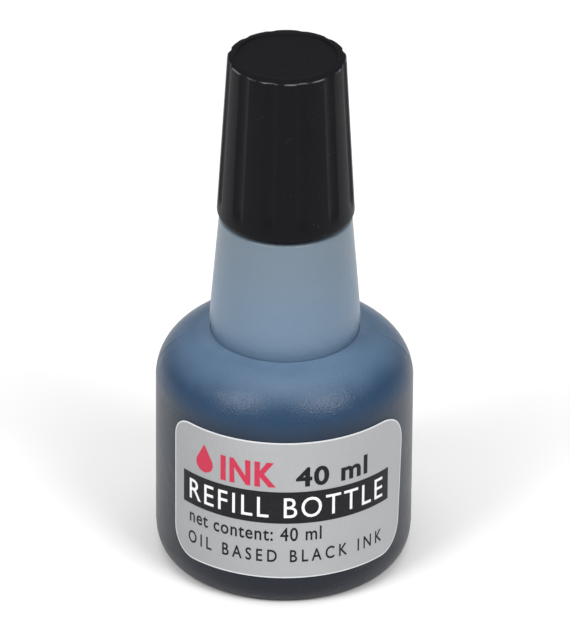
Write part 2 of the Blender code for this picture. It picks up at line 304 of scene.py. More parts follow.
def rounded(centre, radius, start, end, steps=4):
    """Points on a circle, from one angle in degrees to another."""
    return arc(centre, (radius, radius), start, end, steps)


def divide(outline, longest):
    """The same outline with every straight run cut to at most this length."""
    points = [outline[0]]
    for (r0, z0), (r1, z1) in zip(outline, outline[1:]):
        pieces = max(1, round(sqrt((r1 - r0) ** 2 + (z1 - z0) ** 2) / longest))
        for piece in range(1, pieces + 1):
            share = piece / pieces
            points.append((r0 + (r1 - r0) * share, z0 + (z1 - z0) * share))
    return points


print("points closer than", round(WELD / MM, 5), "mm count as one")

# %% [markdown]
# ## Turned pieces
#
# A lathe makes a round thing by turning it past one outline, and `bmesh.ops.spin` does the same
# with an outline about the Z axis. The spin leaves a seam and, on the axis, a bunch of points, so
# doubles are merged before the normals are made to face out.

# %% Turning
FINE = 160


def turn(outline, segments=FINE, ring=False):
    """Spins an outline about Z. A ring's outline closes on itself, others end on the axis."""
    bm = bmesh.new()
    corners = [bm.verts.new((radius, 0.0, height)) for radius, height in outline]
    ends = list(zip(corners, corners[1:]))
    if ring:
        ends.append((corners[-1], corners[0]))
    edges = [bm.edges.new(pair) for pair in ends]
    bmesh.ops.spin(
        bm,
        geom=corners + edges,
        axis=(0.0, 0.0, 1.0),
        cent=(0.0, 0.0, 0.0),
        angle=tau,
        steps=segments,
        use_merge=True,
    )
    bmesh.ops.remove_doubles(bm, verts=bm.verts, dist=WELD)
    bmesh.ops.recalc_face_normals(bm, faces=bm.faces)
    return bm


print("turned pieces use", FINE, "segments unless they say otherwise")

# %% [markdown]
# ## Putting a piece in place
#
# Every piece ends in the same function. Unions and plane cuts leave slivers, edges shorter than
# the weld distance, and these would become faces without area in a part that is made from the
# mesh. They are collapsed first, and faces of many corners are cut into triangles in between. A
# solid piece has no open edges, so these are counted and printed as a test.

# %% Putting a piece in place
SHARP_ANGLE = radians(40.0)


def collapse_slivers(bm):
    """Removes edges and faces that are too small to be real."""
    bmesh.ops.dissolve_degenerate(bm, dist=WELD, edges=bm.edges)
    bmesh.ops.triangulate(bm, faces=[face for face in bm.faces if len(face.verts) > 4])
    bmesh.ops.dissolve_degenerate(bm, dist=WELD, edges=bm.edges)


def put(name, bm, body, finish, stands_for=()):
    """Makes a finished piece: its mesh, its finish, and the body that it rides on."""
    collapse_slivers(bm)
    open_edges = sum(not edge.is_manifold for edge in bm.edges)
    mesh = bpy.data.meshes.new(name)
    bm.to_mesh(mesh)
    bm.free()
    mesh.shade_smooth()
    mesh.set_sharp_from_angle(angle=SHARP_ANGLE)
    mesh.materials.append(finish.material)
    piece = bpy.data.objects.new(name, mesh)
    bpy.context.collection.objects.link(piece)
    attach(piece, body)
    if stands_for:
        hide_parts(*stands_for)
    print(name, "has", len(mesh.polygons), "faces and", open_edges, "open edges")
    return piece


print("edges sharper than", round(degrees(SHARP_ANGLE)), "degrees stay crisp")

# %% [markdown]
# ## Threads
#
# A screw thread is a small wedge that climbs as it goes round. Extruding one face again and
# again, and moving each new face a little further round and up, sweeps such a wedge. Its ends
# sink into the wall, as a mould's cutter leaves them.

# %% Threads
THREAD_PITCH = 25.4 * MM / 8
THREAD_SECTION = ((-0.3, 0.96), (0.85, 0.50), (1.10, 0.36), (1.15, 0.0))  # height, half width, mm
THREAD_FADE = 12  # steps


def thread(wall, direction, start_height, start_turn, turns):
    """A helical ridge on a wall of some radius, facing outwards (1) or inwards (-1)."""
    steps = round(turns * FINE)
    upper = [(height * MM, half * MM) for height, half in THREAD_SECTION]
    lower = [(height, -half) for height, half in upper[:-1]]
    sunk = upper[0][0]
    faded = sunk / 3  # where the ridge's ends vanish, just inside the wall

    def corners(step):
        fade = min(1.0, step / THREAD_FADE, (steps - step) / THREAD_FADE)
        turned = Matrix.Rotation(tau * (start_turn + step / FINE), 3, "Z")
        rise = start_height + THREAD_PITCH * step / FINE
        section = []
        for height, lift in lower + upper[::-1]:
            reach = sunk if height == sunk else faded + (height - faded) * fade
            section.append(turned @ Vector((wall + direction * reach, 0.0, rise + lift)))
        return section

    bm = bmesh.new()
    face = bm.faces.new([bm.verts.new(corner) for corner in corners(0)])
    for step in range(1, steps + 1):
        grown = bmesh.ops.extrude_face_region(bm, geom=[face])["geom"]
        if step > 1:
            bmesh.ops.delete(bm, geom=[face], context="FACES_ONLY")
        face = next(item for item in grown if isinstance(item, bmesh.types.BMFace))
        for vert, corner in zip(face.verts, corners(step)):
            vert.co = corner
    bmesh.ops.recalc_face_normals(bm, faces=bm.faces)
    return bm


print("thread pitch", round(THREAD_PITCH / MM, 3), "mm")

# %% [markdown]
# ## One solid from two
#
# On a moulded part the thread and its wall are one piece of plastic. An exact Boolean modifier
# unites wedge and wall cleanly, so bottle and cap each stay one solid. Both helper objects are
# thrown away as soon as the result has been read.

# %% One solid from two


def united(bm, tool):
    """One solid from two, by an exact Boolean."""
    things = []
    for part in (bm, tool):
        mesh = bpy.data.meshes.new("part")
        part.to_mesh(mesh)
        part.free()
        thing = bpy.data.objects.new("part", mesh)
        bpy.context.collection.objects.link(thing)
        things.append(thing)
    boolean = things[0].modifiers.new("union", "BOOLEAN")
    boolean.operation = "UNION"
    boolean.solver = "EXACT"
    boolean.object = things[1]
    bpy.context.view_layer.update()
    seen = things[0].evaluated_get(bpy.context.evaluated_depsgraph_get())
    joined = bmesh.new()
    joined.from_mesh(seen.data)
    for thing in things:
        mesh = thing.data
        bpy.data.objects.remove(thing)
        bpy.data.meshes.remove(mesh)
    print("united into", len(joined.faces), "faces")
    return joined


# %% [markdown]
# ## Bottle
#
# The bottle is blown from a soft tube inside a two-part mould, so it is round and its corners
# are all rolled. Its base is pushed up in the middle so that it stands on a ring. Its shoulder is
# a quarter of an ellipse that meets the tapered neck in a tight crease. The body's radius
# and the mouth's height come from the frame.

# %% Bottle measures
_, bottle_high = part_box("bottle_body")
BODY_RADIUS = bottle_high.x
MOUTH_Z = bottle_high.z
FINISH_HEIGHT = 9.0 * MM  # the threaded part above the ledge
LEDGE_Z = MOUTH_Z - FINISH_HEIGHT
WALL = 1.1 * MM
SEAM_HEIGHT = 0.035 * MM
SEAM_HALF_WIDTH = 0.18 * MM
SEAM_STOPS_BELOW_MOUTH = 1.0 * MM
STRAIGHT_WALL_TOP = 30.0 * MM
HEEL = (2.5 * MM, 4.5 * MM)
PUSH_UP = (14.2 * MM, 1.4 * MM)
PUSH_UP_EDGE = (0.3 * MM, 0.12 * MM)
SHOULDER_FOOT = (9.0 * MM, 30.4 * MM)  # centre of the quarter ellipse
SHOULDER_RISE = 8.65 * MM
SHOULDER_STOPS_AT = 0.35 * MM  # outside the crease
CREASE = (11.45 * MM, 38.87 * MM)
CREASE_HOLLOW = (  # mm out and up from the crease, from the shoulder's edge to the neck
    (0.17, -0.08),
    (0.03, -0.20),
    (-0.02, -0.16),
    (0.00, 0.05),
    (0.05, 0.35),
    (0.12, 0.80),
    (0.18, 1.35),
    (0.20, 1.90),
)
NECK_LOW = (11.7 * MM, 40.7 * MM)
NECK_SWELL = ((-0.07, 0.8), (-0.14, 1.7))  # mm out and up from the neck's low end
NECK_TOP_RADIUS = 10.25 * MM
FINISH_RADIUS = 7.75 * MM
FINISH_FILLET = 0.15 * MM
LIP_ROUND = 0.3 * MM
MOUTH_RADIUS = 6.0 * MM
MOUTH_DEPTH = 8.0 * MM
print("bottle radius", round(BODY_RADIUS / MM, 2), "mm, mouth at", round(MOUTH_Z / MM, 2), "mm")

# %% [markdown]
# ## Bottle outline
#
# The outline runs from the middle of the base up the outside and back down the inside, so one
# spin gives the bottle a real wall. The inside has fewer points, because nothing sees it.

# %% Bottle outline


def shoulder(wall, edge_radius, steps):
    """The shoulder's quarter ellipse, set in by a wall, up to a radius at the neck."""
    reach = (BODY_RADIUS - SHOULDER_FOOT[0] - wall, SHOULDER_RISE - wall)
    last = degrees(acos((edge_radius - SHOULDER_FOOT[0]) / reach[0]))
    return arc(SHOULDER_FOOT, reach, 0.0, last, steps)


def beside(corner, offsets):
    """Points that are given in millimetres from a corner."""
    return [(corner[0] + out * MM, corner[1] + up * MM) for out, up in offsets]


def bottle_outline():
    """From the middle of the base up the outside to the mouth, then back down the inside."""
    heel = (BODY_RADIUS - SEAM_HEIGHT - HEEL[0], HEEL[1])
    push_up_edge = (PUSH_UP[0] + 0.35 * MM, PUSH_UP_EDGE[1])
    lip_z = MOUTH_Z - LIP_ROUND
    outside = [
        *arc((0.0, 0.0), PUSH_UP, 90.0, 4.0, 14),
        *arc(push_up_edge, PUSH_UP_EDGE, 200.0, 270.0, 3),
        *arc(heel, HEEL, -90.0, 0.0, 14),
        *shoulder(SEAM_HEIGHT, CREASE[0] + SHOULDER_STOPS_AT, 30),
        *beside(CREASE, CREASE_HOLLOW),
        *beside(NECK_LOW, NECK_SWELL),
        *rounded((NECK_TOP_RADIUS - LIP_ROUND, LEDGE_Z - LIP_ROUND), LIP_ROUND, 0.0, 90.0, 5),
        (FINISH_RADIUS + FINISH_FILLET, LEDGE_Z),
        (FINISH_RADIUS, LEDGE_Z + FINISH_FILLET),
        *rounded((FINISH_RADIUS - LIP_ROUND, lip_z), LIP_ROUND, 0.0, 90.0, 5),
        *rounded((MOUTH_RADIUS + LIP_ROUND, lip_z), LIP_ROUND, 90.0, 180.0, 5),
    ]
    inside = [
        (MOUTH_RADIUS, MOUTH_Z - MOUTH_DEPTH),
        (NECK_TOP_RADIUS - WALL, LEDGE_Z - 2 * WALL),
        (NECK_LOW[0] - WALL, NECK_LOW[1]),
        *reversed(shoulder(WALL, CREASE[0] - WALL, 8)),
        *arc((BODY_RADIUS - HEEL[0], HEEL[1]), (HEEL[0] - WALL, HEEL[1] - WALL), 0.0, -90.0, 4),
        *arc((0.0, WALL), PUSH_UP, 0.0, 90.0, 5),
    ]
    return outside + inside


print("bottle outline has", len(bottle_outline()), "points")

# %% [markdown]
# ## Mould line
#
# A fine line runs up both sides of a blown bottle where the two halves of its mould closed. Four
# plane cuts make room for it in the mesh, and the points between them are pushed out by a few
# hundredths of a millimetre. Then the thread is united with the finish under the cap.

# %% Bottle


def cut_through(bm, place, normal):
    """Cuts every face that a plane crosses, and keeps both sides."""
    everything = bm.verts[:] + bm.edges[:] + bm.faces[:]
    bmesh.ops.bisect_plane(bm, geom=everything, plane_co=place, plane_no=normal)


def raise_seam(bm):
    """Pushes out the fine line that the mould's two halves leave at the left and right."""
    for place in (-SEAM_HALF_WIDTH, -SEAM_HALF_WIDTH / 3, SEAM_HALF_WIDTH / 3, SEAM_HALF_WIDTH):
        cut_through(bm, (0.0, place, 0.0), (0.0, 1.0, 0.0))
    for vert in bm.verts:
        off_axis = Vector(vert.co.xy).length
        inside = off_axis < BODY_RADIUS - WALL and vert.co.z < STRAIGHT_WALL_TOP
        outwards = vert.normal.x * vert.co.x > 0.0
        low_enough = vert.co.z < MOUTH_Z - SEAM_STOPS_BELOW_MOUTH
        if abs(vert.co.y) < SEAM_HALF_WIDTH / 2 and outwards and low_enough and not inside:
            vert.co += vert.normal * SEAM_HEIGHT


bottle = turn(divide(bottle_outline(), longest=3.0 * MM))
bottle_thread = thread(FINISH_RADIUS, 1, LEDGE_Z + 1.9 * MM, start_turn=0.0, turns=1.5)
bottle.normal_update()
raise_seam(bottle)
bottle = united(bottle, bottle_thread)
print("mould line stands", round(SEAM_HEIGHT / MM, 3), "mm proud")

# %% [markdown]
# ## Finish: inked polythene
#
# Natural polythene is milky and lets light through, so the bottle takes the colour of what is
# behind its wall. Up to the foot of the neck that is ink, which makes a deep slate blue. The
# colour ramp paints light into it: the shoulder is painted lighter, where the top light falls
# straight in, and the body is made darker towards the bottom. Above the ink only a film of ink
# clings, and the neck is a pale grey blue. The whole bottle shows soft orange peel, because a
# blown wall meets its mould with little pressure.

# %% Finish: inked polythene
# Painted light: the ramp makes the shoulder lighter and the body darker towards the bottom.
HEIGHT_STOPS_WITH_PAINTED_LIGHT = [  # share of the mouth's height, and the wall's colour there
    (0.00, (0.005, 0.006, 0.013)),
    (0.10, (0.005, 0.008, 0.016)),
    (0.42, (0.006, 0.015, 0.031)),
    (0.50, (0.016, 0.042, 0.087)),
    (0.565, (0.067, 0.117, 0.187)),
    (0.585, (0.104, 0.165, 0.243)),
    (0.65, (0.128, 0.187, 0.258)),
    (0.86, (0.134, 0.175, 0.218)),
    (0.90, (0.330, 0.370, 0.400)),
    (1.00, (0.450, 0.480, 0.500)),
]
PEEL_DEPTH = 0.062 * MM

inked_polythene = Finish("inked_polythene", IOR=1.5, Specular_IOR_Level=0.28)
cloud = inked_polythene.noise(9.0 * MM, detail=3.0)
speck = inked_polythene.noise(1.3 * MM)
height = inked_polythene.z / MOUTH_Z + (cloud - 0.5) * 0.03
# The tint carries the painted light of the lighter shoulder.
tint_with_painted_light = inked_polythene.node("ShaderNodeValToRGB", {"stops": HEIGHT_STOPS_WITH_PAINTED_LIGHT}, {"Fac": height})
inked_polythene.set("Base Color", tint_with_painted_light)
inked_polythene.set("Roughness", 0.325 + (cloud - 0.5) * 0.12 + (speck - 0.5) * 0.05)
pimples = inked_polythene.noise(0.25 * MM, detail=1.0)
waves = inked_polythene.noise(2.2 * MM, detail=1.0)
inked_polythene.bump(pimples + waves * 0.6, PEEL_DEPTH)
put("moulded_bottle", bottle, "bottle", inked_polythene, ["bottle_body"])

# %% [markdown]
# ## Ink
#
# The ink hides behind the wall, so its plain CAD solid stays and only gets the finish of a
# blue-black liquid: nearly black, with slightly bluer swirls, and almost mirror-smooth.

# %% Finish: ink
ink = Finish("blue_black_ink", IOR=1.36)
swirl = ink.noise(6.0 * MM, detail=3.0)
ink.set("Base Color", ink.mix(swirl, (0.004, 0.007, 0.018), (0.010, 0.018, 0.046)))
ink.set("Roughness", 0.04 + swirl * 0.06)
nodes["ink_fill"].data.materials.clear()
nodes["ink_fill"].data.materials.append(ink.material)
print("ink_fill wears", nodes["ink_fill"].data.materials[0].name)

# %% [markdown]
# ## Dropper plug
#
# A moulded plug snaps into the mouth. Its skirt has two sealing beads, its flange sits on
# the rim, and its nozzle narrows to an opening that lets out one drop at a time. It is
# one closed ring, so the outline goes up the outside and comes back down through the bore.

# %% Dropper plug
plug_low, plug_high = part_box("dropper_plug")
FLANGE_RADIUS = plug_high.x
NOZZLE_TIP_Z = plug_high.z
FLANGE_Z = MOUTH_Z + 0.3 * MM
FLANGE_LOW_ROUND = 0.15 * MM
FLANGE_TOP_ROUND = 0.3 * MM
SKIRT_RADIUS = 5.5 * MM
PLUG_WALL = 0.9 * MM
BEAD = 0.25 * MM
BEAD_DEPTHS = (4.1 * MM, 1.9 * MM)  # below the flange
NOZZLE_LOW = 4.7 * MM
NOZZLE_FOOT = ((0.45, 1.0), (0.12, 1.15), (-0.12, 1.7))  # mm out and up, flange to nozzle
NOZZLE_TIP = 1.5 * MM
TIP_ROUND = 0.45 * MM
BORE = 0.6 * MM
BORE_ROUND = 0.2 * MM
BORE_LENGTH = 2.0 * MM


def plug_outline():
    """Up the outside from the skirt's end to the tip, then down the bore."""
    flange = (FLANGE_RADIUS - FLANGE_LOW_ROUND, FLANGE_Z + FLANGE_LOW_ROUND)
    flange_top = (FLANGE_RADIUS - FLANGE_TOP_ROUND, FLANGE_Z + 0.7 * MM)
    tip = (NOZZLE_TIP - TIP_ROUND, NOZZLE_TIP_Z - TIP_ROUND)
    end_round = PLUG_WALL / 2
    skirt_end = (SKIRT_RADIUS - end_round, plug_low.z + end_round)
    beads = []
    for depth in BEAD_DEPTHS:
        beads += rounded((SKIRT_RADIUS - BEAD, FLANGE_Z - depth), 2 * BEAD, -55.0, 55.0, 6)
    return [
        *rounded(skirt_end, end_round, -90.0, 0.0),
        *beads,
        (SKIRT_RADIUS, FLANGE_Z),
        *rounded(flange, FLANGE_LOW_ROUND, -90.0, 0.0),
        *rounded(flange_top, FLANGE_TOP_ROUND, 0.0, 90.0),
        *beside((NOZZLE_LOW, FLANGE_Z), NOZZLE_FOOT),
        *rounded(tip, TIP_ROUND, 10.0, 90.0, 6),
        *rounded((BORE + BORE_ROUND, NOZZLE_TIP_Z - BORE_ROUND), BORE_ROUND, 90.0, 180.0, 3),
        (BORE, NOZZLE_TIP_Z - BORE_LENGTH),
        (NOZZLE_LOW - PLUG_WALL, FLANGE_Z + 1.0 * MM),
        (SKIRT_RADIUS - PLUG_WALL, FLANGE_Z),
        (SKIRT_RADIUS - PLUG_WALL, skirt_end[1]),
    ]


plug = turn(divide(plug_outline(), longest=2.0 * MM), segments=128, ring=True)
print("plug reaches", round((NOZZLE_TIP_Z - MOUTH_Z) / MM, 2), "mm above the mouth")

# %% [markdown]
# ## Finish: natural polythene
#
# The plug is the same plastic as the bottle, but without ink behind it, so it is a cloudy white
# that light sinks into a little. Drops have dried round the nozzle's tip. A mask that rises
# towards the tip and is broken up by noise puts that stain where the ink runs.

# %% Finish: natural polythene
natural = Finish("natural_polythene", IOR=1.5, Subsurface_Weight=0.25)
natural.set("Subsurface Radius", (1.0, 0.8, 0.7))
natural.set("Subsurface Scale", 0.8 * MM)
milk = natural.noise(4.0 * MM, detail=3.0)
at_tip = natural.z.rises(NOZZLE_TIP_Z - 2.2 * MM, NOZZLE_TIP_Z - 0.3 * MM)
splash = natural.noise(1.6 * MM, detail=3.0).rises(0.48, 0.62)
stain = at_tip * (0.35 + splash * 0.55)
pale = natural.mix(milk, (0.60, 0.64, 0.66), (0.70, 0.73, 0.74))
natural.set("Base Color", natural.mix(stain, pale, (0.030, 0.055, 0.120)))
natural.set("Roughness", 0.36 + milk * 0.10 - stain * 0.18)
natural.bump(natural.noise(0.5 * MM), 0.01 * MM)
put("dropper_nozzle", plug, "bottle", natural, ["dropper_plug"])

# %% [markdown]
# ## Cap liner
#
# A disc punched from foam sheet sits under the cap's roof and seals the nozzle. Where the tip
# presses, the foam keeps a dent. The disc's lower face is pushed in by moving its points: the
# nearer to the middle, the deeper.

# %% Cap liner
liner_low, liner_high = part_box("cap_liner")
LINER_EDGE = 0.2 * MM
DENT_RADIUS = 2.1 * MM
DENT_DEPTH = 0.25 * MM


def liner_outline():
    """From the middle of the lower face round the edge to the middle of the upper one."""
    wide = liner_high.x - LINER_EDGE
    return [
        (0.0, liner_low.z),
        *rounded((wide, liner_low.z + LINER_EDGE), LINER_EDGE, -90.0, 0.0),
        *rounded((wide, liner_high.z - LINER_EDGE), LINER_EDGE, 0.0, 90.0),
        (0.0, liner_high.z),
    ]


liner = turn(divide(liner_outline(), longest=0.3 * MM), segments=96)
for vert in liner.verts:
    if vert.co.z < liner_low.z + LINER_EDGE / 4:
        reach = min(1.0, Vector(vert.co.xy).length / DENT_RADIUS)
        vert.co.z += DENT_DEPTH * (1.0 - reach * reach) ** 2
print("liner is", round((liner_high.z - liner_low.z) / MM, 2), "mm thick")

# %% [markdown]
# ## Finish: closed-cell foam
#
# Punched foam shows its pores as fine dimples, and the dent has soaked up a blot of ink. The
# blot is the distance from the axis, made uneven by noise and limited to the lower face.

# %% Finish: closed-cell foam
PORE = 0.22 * MM

foam = Finish("closed_cell_foam", Roughness=0.72, IOR=1.45)
pore_sockets = {"Vector": foam.place, "Scale": 1 / PORE}
pores = foam.node("ShaderNodeTexVoronoi", {"feature": "F1"}, pore_sockets)
blot = foam.off_axis() + (foam.noise(0.9 * MM, detail=3.0) - 0.5) * 1.4 * MM
on_face = foam.z.rises(liner_low.z + 0.5 * MM, liner_low.z + 0.3 * MM)
inked = blot.rises(2.3 * MM, 1.3 * MM) * on_face
clean = foam.mix(foam.noise(3.0 * MM), (0.66, 0.65, 0.61), (0.78, 0.77, 0.74))
foam.set("Base Color", foam.mix(inked * 0.85, clean, (0.020, 0.035, 0.090)))
foam.bump(pores, 0.03 * MM)
put("foam_liner", liner, "liner", foam, ["cap_liner"])

# %% [markdown]
# ## Screw cap
#
# The cap is injection-moulded in one piece: a threaded skirt, a tall bore over the nozzle, and
# a roof whose top is a shallow sunk disc. The ring round the disc slopes down to the rim. One
# outline runs over the top, down the outside and up the inside, and is spun plain.

# %% Screw cap
cap_low, cap_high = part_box("screw_cap")
CAP_HEIGHT = cap_high.z - cap_low.z
CAP_LOW_RADIUS = 10.6 * MM
CAP_TOP_RADIUS = 9.1 * MM
CAP_LOW_ROUND = 0.9 * MM
CAP_TOP_ROUND = 0.2 * MM
CAP_RIM_DROP = 0.25 * MM  # the ring round the disc slopes down to the rim
CAP_SEGMENTS = 360
DISC_RADIUS = 7.8 * MM
DISC_DEPTH = 0.2 * MM
DISC_STEP = ((-0.08, -0.04), (0.04, 0.0))  # mm out from the disc's edge and up from the top
THREAD_BORE = 9.25 * MM
BORE_CHAMFER = 0.35 * MM
INSIDE = (  # radius and height in mm above the cap's foot, from the thread's top to the roof
    (9.25, 9.6),
    (8.45, 10.4),
    (7.52, 22.9),
    (7.15, 23.25),
    (7.40, 23.7),
    (7.40, 25.5),
    (0.0, 25.5),
)


def cap_outline():
    """From the middle of the top down the outside, then back up the inside; z = 0 at its foot."""
    top = (CAP_TOP_RADIUS - CAP_TOP_ROUND, CAP_HEIGHT - CAP_RIM_DROP - CAP_TOP_ROUND)
    low = (CAP_LOW_RADIUS - CAP_LOW_ROUND, CAP_LOW_ROUND)
    disc_z = CAP_HEIGHT - DISC_DEPTH
    return [
        (0.0, disc_z),
        (DISC_RADIUS - 0.30 * MM, disc_z),
        (DISC_RADIUS - 0.20 * MM, disc_z + 0.02 * MM),
        *beside((DISC_RADIUS, CAP_HEIGHT), DISC_STEP),
        *rounded(top, CAP_TOP_ROUND, 75.0, 3.0, 8),
        *rounded(low, CAP_LOW_ROUND, 3.0, -90.0, 8),
        (THREAD_BORE + BORE_CHAMFER, 0.0),
        (THREAD_BORE, BORE_CHAMFER),
        *beside((0.0, 0.0), INSIDE),
    ]


cap = turn(divide(cap_outline(), longest=0.8 * MM), CAP_SEGMENTS)
print("cap height", round(CAP_HEIGHT / MM, 2), "mm")

# %% [markdown]
# ## Flutes
#
# Twelve shallow flutes give fingers a grip. Each was cut in the mould by a round cutter, so it
# ends in a ball at its foot and runs out through the rolled rim, which leaves the rim scalloped.
# Every outer point that lies in front of the cutter's surface moves back to it, which gives
# the same shape as a cut and keeps the even mesh.

# %% Flutes
FLUTES = 12
FLUTE_FIRST = 15.0  # degrees from the front
FLUTE_WIDTH = 2.1 * MM
FLUTE_DEPTH = 0.32 * MM
FLUTE_FOOT = 2.8 * MM
CUTTER_RADIUS = (FLUTE_WIDTH**2 / 4 + FLUTE_DEPTH**2) / (2 * FLUTE_DEPTH)


def side_radius(height):
    """The straight side's radius at a height above the cap's foot."""
    return CAP_LOW_RADIUS + (CAP_TOP_RADIUS - CAP_LOW_RADIUS) * height / CAP_HEIGHT


def flute_depth(angle, height, radius):
    """How deep the nearest cutter reaches at a place on the side; negative between flutes."""
    from_first = degrees(angle) + 90.0 - FLUTE_FIRST
    pitch = 360.0 / FLUTES
    off = radians((from_first + pitch / 2) % pitch - pitch / 2)
    below_end = max(0.0, FLUTE_FOOT + FLUTE_WIDTH / 2 - height)
    aside = sqrt((radius * off) ** 2 + below_end**2)
    if aside >= CUTTER_RADIUS:
        return -1.0
    return sqrt(CUTTER_RADIUS**2 - aside**2) - (CUTTER_RADIUS - FLUTE_DEPTH)


def cut_flutes(bm):
    """Moves the outer points back to the cutters' surfaces; returns how many it moved."""
    moved = 0
    for vert in bm.verts:
        radius, height = Vector(vert.co.xy).length, vert.co.z
        outside = radius > side_radius(height) - FLUTE_DEPTH
        if radius > CAP_TOP_RADIUS - 3 * FLUTE_DEPTH and outside:
            depth = flute_depth(atan2(vert.co.y, vert.co.x), height, radius)
            cut = side_radius(height) - depth
            if depth > 0.0 and cut < radius:
                vert.co.x *= cut / radius
                vert.co.y *= cut / radius
                moved += 1
    return moved


moved = cut_flutes(cap)
print(FLUTES, "flutes moved", moved, "points")
bmesh.ops.translate(cap, verts=cap.verts, vec=(0.0, 0.0, cap_low.z))
cap_thread = thread(THREAD_BORE, -1, cap_low.z + 1.5 * MM, start_turn=0.5, turns=1.25)
cap = united(cap, cap_thread)

# %% [markdown]
# ## Finish: black polypropylene
#
# Black polypropylene is nearly black all through, and its satin skin shows the mould's fine
# grain. Handling leaves small scuffs, most of all along the rim, and a few grains of dust. The
# rim's light grey line is partly that wear and partly a painted highlight: a mask that rises
# near the top edge and is broken up by noise. Little light gets into the step round the sunk
# disc, so a second mask paints shade there and keeps that step dark.

# %% Finish: black polypropylene


def under_top(depth):
    """The height that lies this many millimetres under the cap's top."""
    return cap_high.z - depth * MM


black = Finish("black_polypropylene", IOR=1.49, Specular_IOR_Level=0.09)
grain = black.noise(0.35 * MM)
handled = black.noise(5.0 * MM, detail=4.0)
off_axis = black.off_axis()
rim = black.z.rises(under_top(0.47), under_top(0.40))
rim = rim * black.z.rises(under_top(0.23), under_top(0.29))
edge = rim * off_axis.rises(CAP_TOP_RADIUS - 0.55 * MM, CAP_TOP_RADIUS - 0.35 * MM)
# A light grey line along the rim: partly wear, partly a painted highlight.
wear_and_painted_highlight = edge * black.noise(2.5 * MM, detail=4.0).rises(0.42, 0.58)
dust = black.noise(0.45 * MM, detail=1.0).rises(0.75, 0.80)
step = off_axis.rises(DISC_RADIUS - 0.34 * MM, DISC_RADIUS - 0.22 * MM)
step = step * off_axis.rises(DISC_RADIUS + 0.02 * MM, DISC_RADIUS - 0.06 * MM)
step = step * black.z.rises(under_top(0.5), under_top(0.3))
plain = black.mix(handled, (0.0030, 0.0032, 0.0046), (0.0048, 0.0050, 0.0068))
scuffs_and_painted_highlight = black.mix(wear_and_painted_highlight * 0.9, plain, (0.110, 0.112, 0.117))
shaded = black.mix(step * 0.8, scuffs_and_painted_highlight, (0.0015, 0.0015, 0.0020))
black.set("Base Color", black.mix(dust * 0.5, shaded, (0.060, 0.058, 0.055)))
black.set("Roughness", 0.35 + handled * 0.10 + grain * 0.05 + wear_and_painted_highlight * 0.12)
black.bump(grain + handled * 2.0, 0.008 * MM)
put("fluted_cap", cap, "cap", black, ["screw_cap"])

# %% [markdown]
# ## Label
#
# The label is a sheet of silver film on a white backing, die-cut with round corners: even ones
# at the foot, a small one at the top left and a large one at the top right, where the edge also
# leans outwards. A sheet is easiest to draw flat, so it is rolled round the bottle as its last
# step, and everything printed on it can be made flat as well. Rolling bends a shape only where
# it has points, so it is first cut into narrow upright strips.

# %% Rolling flat shapes round the body
label_low, label_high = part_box("front_label")
LABEL_RADIUS = BODY_RADIUS + 0.02 * MM
LABEL_THICKNESS = 0.12 * MM
LABEL_FROM = radians(-56.5) * BODY_RADIUS
LABEL_TO = radians(63.5) * BODY_RADIUS
STRIP = 0.45 * MM


def strips(bm):
    """Cuts a flat shape into narrow upright strips, so that it can be rolled smoothly."""
    left = min(vert.co.x for vert in bm.verts)
    right = max(vert.co.x for vert in bm.verts)
    count = int((right - left) / STRIP)
    for strip in range(1, count + 1):
        across = left + (right - left) * strip / (count + 1)
        cut_through(bm, (across, 0.0, 0.0), (1.0, 0.0, 0.0))


def thickened(bm, thickness):
    """Gives a flat shape in the XZ plane, which faces -Y, its thickness towards -Y."""
    flat = bm.faces[:]
    grown = bmesh.ops.extrude_face_region(bm, geom=flat, use_keep_orig=True)["geom"]
    raised = [item for item in grown if isinstance(item, bmesh.types.BMVert)]
    bmesh.ops.translate(bm, verts=raised, vec=(0.0, -thickness, 0.0))
    bmesh.ops.recalc_face_normals(bm, faces=bm.faces)


def roll(bm, radius):
    """Rolls a flat shape round the Z axis: across becomes a turn, and y = 0 lies on the radius."""
    for vert in bm.verts:
        angle = vert.co.x / BODY_RADIUS
        reach = radius - vert.co.y
        vert.co = Vector((reach * sin(angle), -reach * cos(angle), vert.co.z))


print("label spans", round((LABEL_TO - LABEL_FROM) / MM, 1), "mm of the wall")

# %% [markdown]
# ## Finish: silver film
#
# Metallised film is a bright grey with a very fine brushed grain, here a noise that is stretched
# upwards. It is only a little metallic, because a true mirror would show the lights and the
# floor instead of an even grey. Broad soft patches keep it from looking like paint, and painted
# shade makes it darker towards its left end.

# %% Finish: silver film
BRUSH_SCALE = (1.0, 1.0, 0.22)
FILM_DARK, FILM_LIGHT = (0.255, 0.260, 0.267), (0.350, 0.355, 0.361)
FILM_BRUSHED = (0.460, 0.465, 0.470)
FILM_FLECK = (0.25, 0.25, 0.26)

silver = Finish("silver_film", IOR=1.5, Specular_IOR_Level=0.35)
brush = silver.noise(0.28 * MM, detail=3.0, at=silver.stretched(BRUSH_SCALE))
patches = silver.noise(7.0 * MM, detail=3.0)
fleck = silver.noise(0.33 * MM, detail=1.0).rises(0.70, 0.78)
sheen = silver.noise(16.0 * MM, detail=1.0).rises(0.30, 0.70)
# Painted shade: the film is made darker towards its left end.
clear_of_painted_left_shade = silver.x.rises(-16.0 * MM, -3.0 * MM)
film = silver.mix(patches * 0.3 + sheen * 0.2 + clear_of_painted_left_shade * 0.5, FILM_DARK, FILM_LIGHT)
film = silver.mix(brush * 0.30, film, FILM_BRUSHED)
silver.set("Base Color", silver.mix(fleck * 0.35, film, FILM_FLECK))
silver.set("Roughness", 0.40 + brush * 0.10 + patches * 0.06)
silver.set("Metallic", 0.10 + brush * 0.12)
silver.bump(brush + silver.noise(3.5 * MM) * 2.0, 0.006 * MM)
print("silver film has", len(silver.tree.nodes), "nodes")

